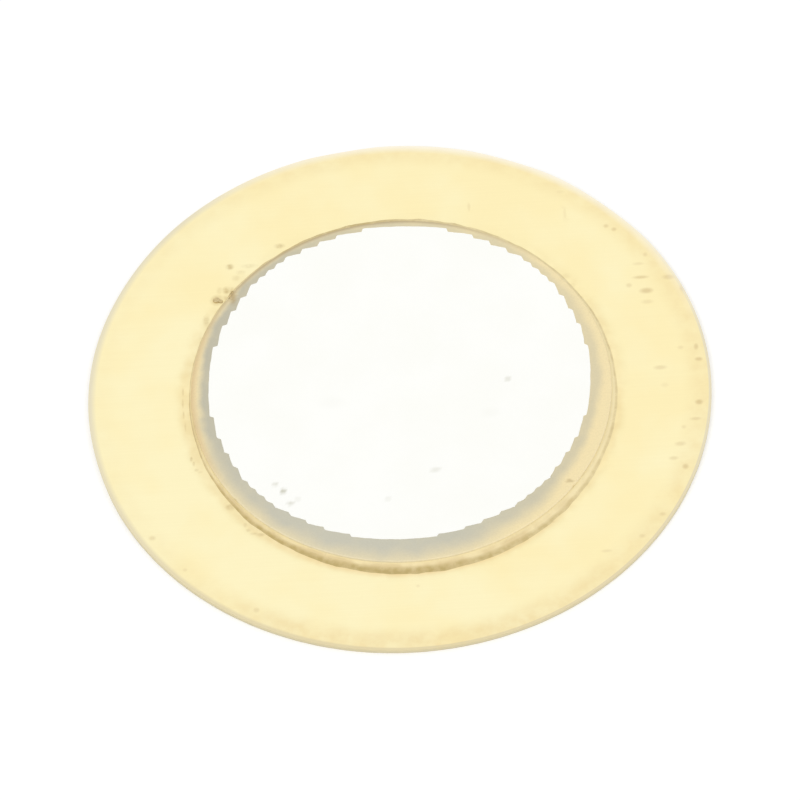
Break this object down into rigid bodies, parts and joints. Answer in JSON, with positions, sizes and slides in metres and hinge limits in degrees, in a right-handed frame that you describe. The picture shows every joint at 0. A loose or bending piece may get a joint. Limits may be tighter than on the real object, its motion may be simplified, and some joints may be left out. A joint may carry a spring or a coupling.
{
  "type": "piezo disc",
  "caption": "Bare round sounder and pickup element: a thin silvered piezoelectric ceramic disc glued to a wider thin brass plate.",
  "frame": {"origin": "centre of the brass plate's back face, which the disc lies on", "axes": "+Z out of the ceramic side, along the plate's axis; +Y towards the side that the front silver is shifted to; +X follows by the right-hand rule"},
  "size_m": [0.02, 0.02, 0.0004],
  "materials": {
    "brass_sheet": "rolled sheet, pale yellow, satin",
    "cured_epoxy": "clear amber, glossy",
    "fired_silver_back": "matt, fired",
    "piezo_ceramic": "sintered, matt, pale buff",
    "fired_silver_front": "matt, fired, nearly white"
  },
  "bodies": {
    "root": {"brass_plate": "brass_sheet", "glue_film": "cured_epoxy", "back_electrode": "fired_silver_back", "ceramic_disc": "piezo_ceramic", "top_electrode": "fired_silver_front"}
  },
  "joints": []
}
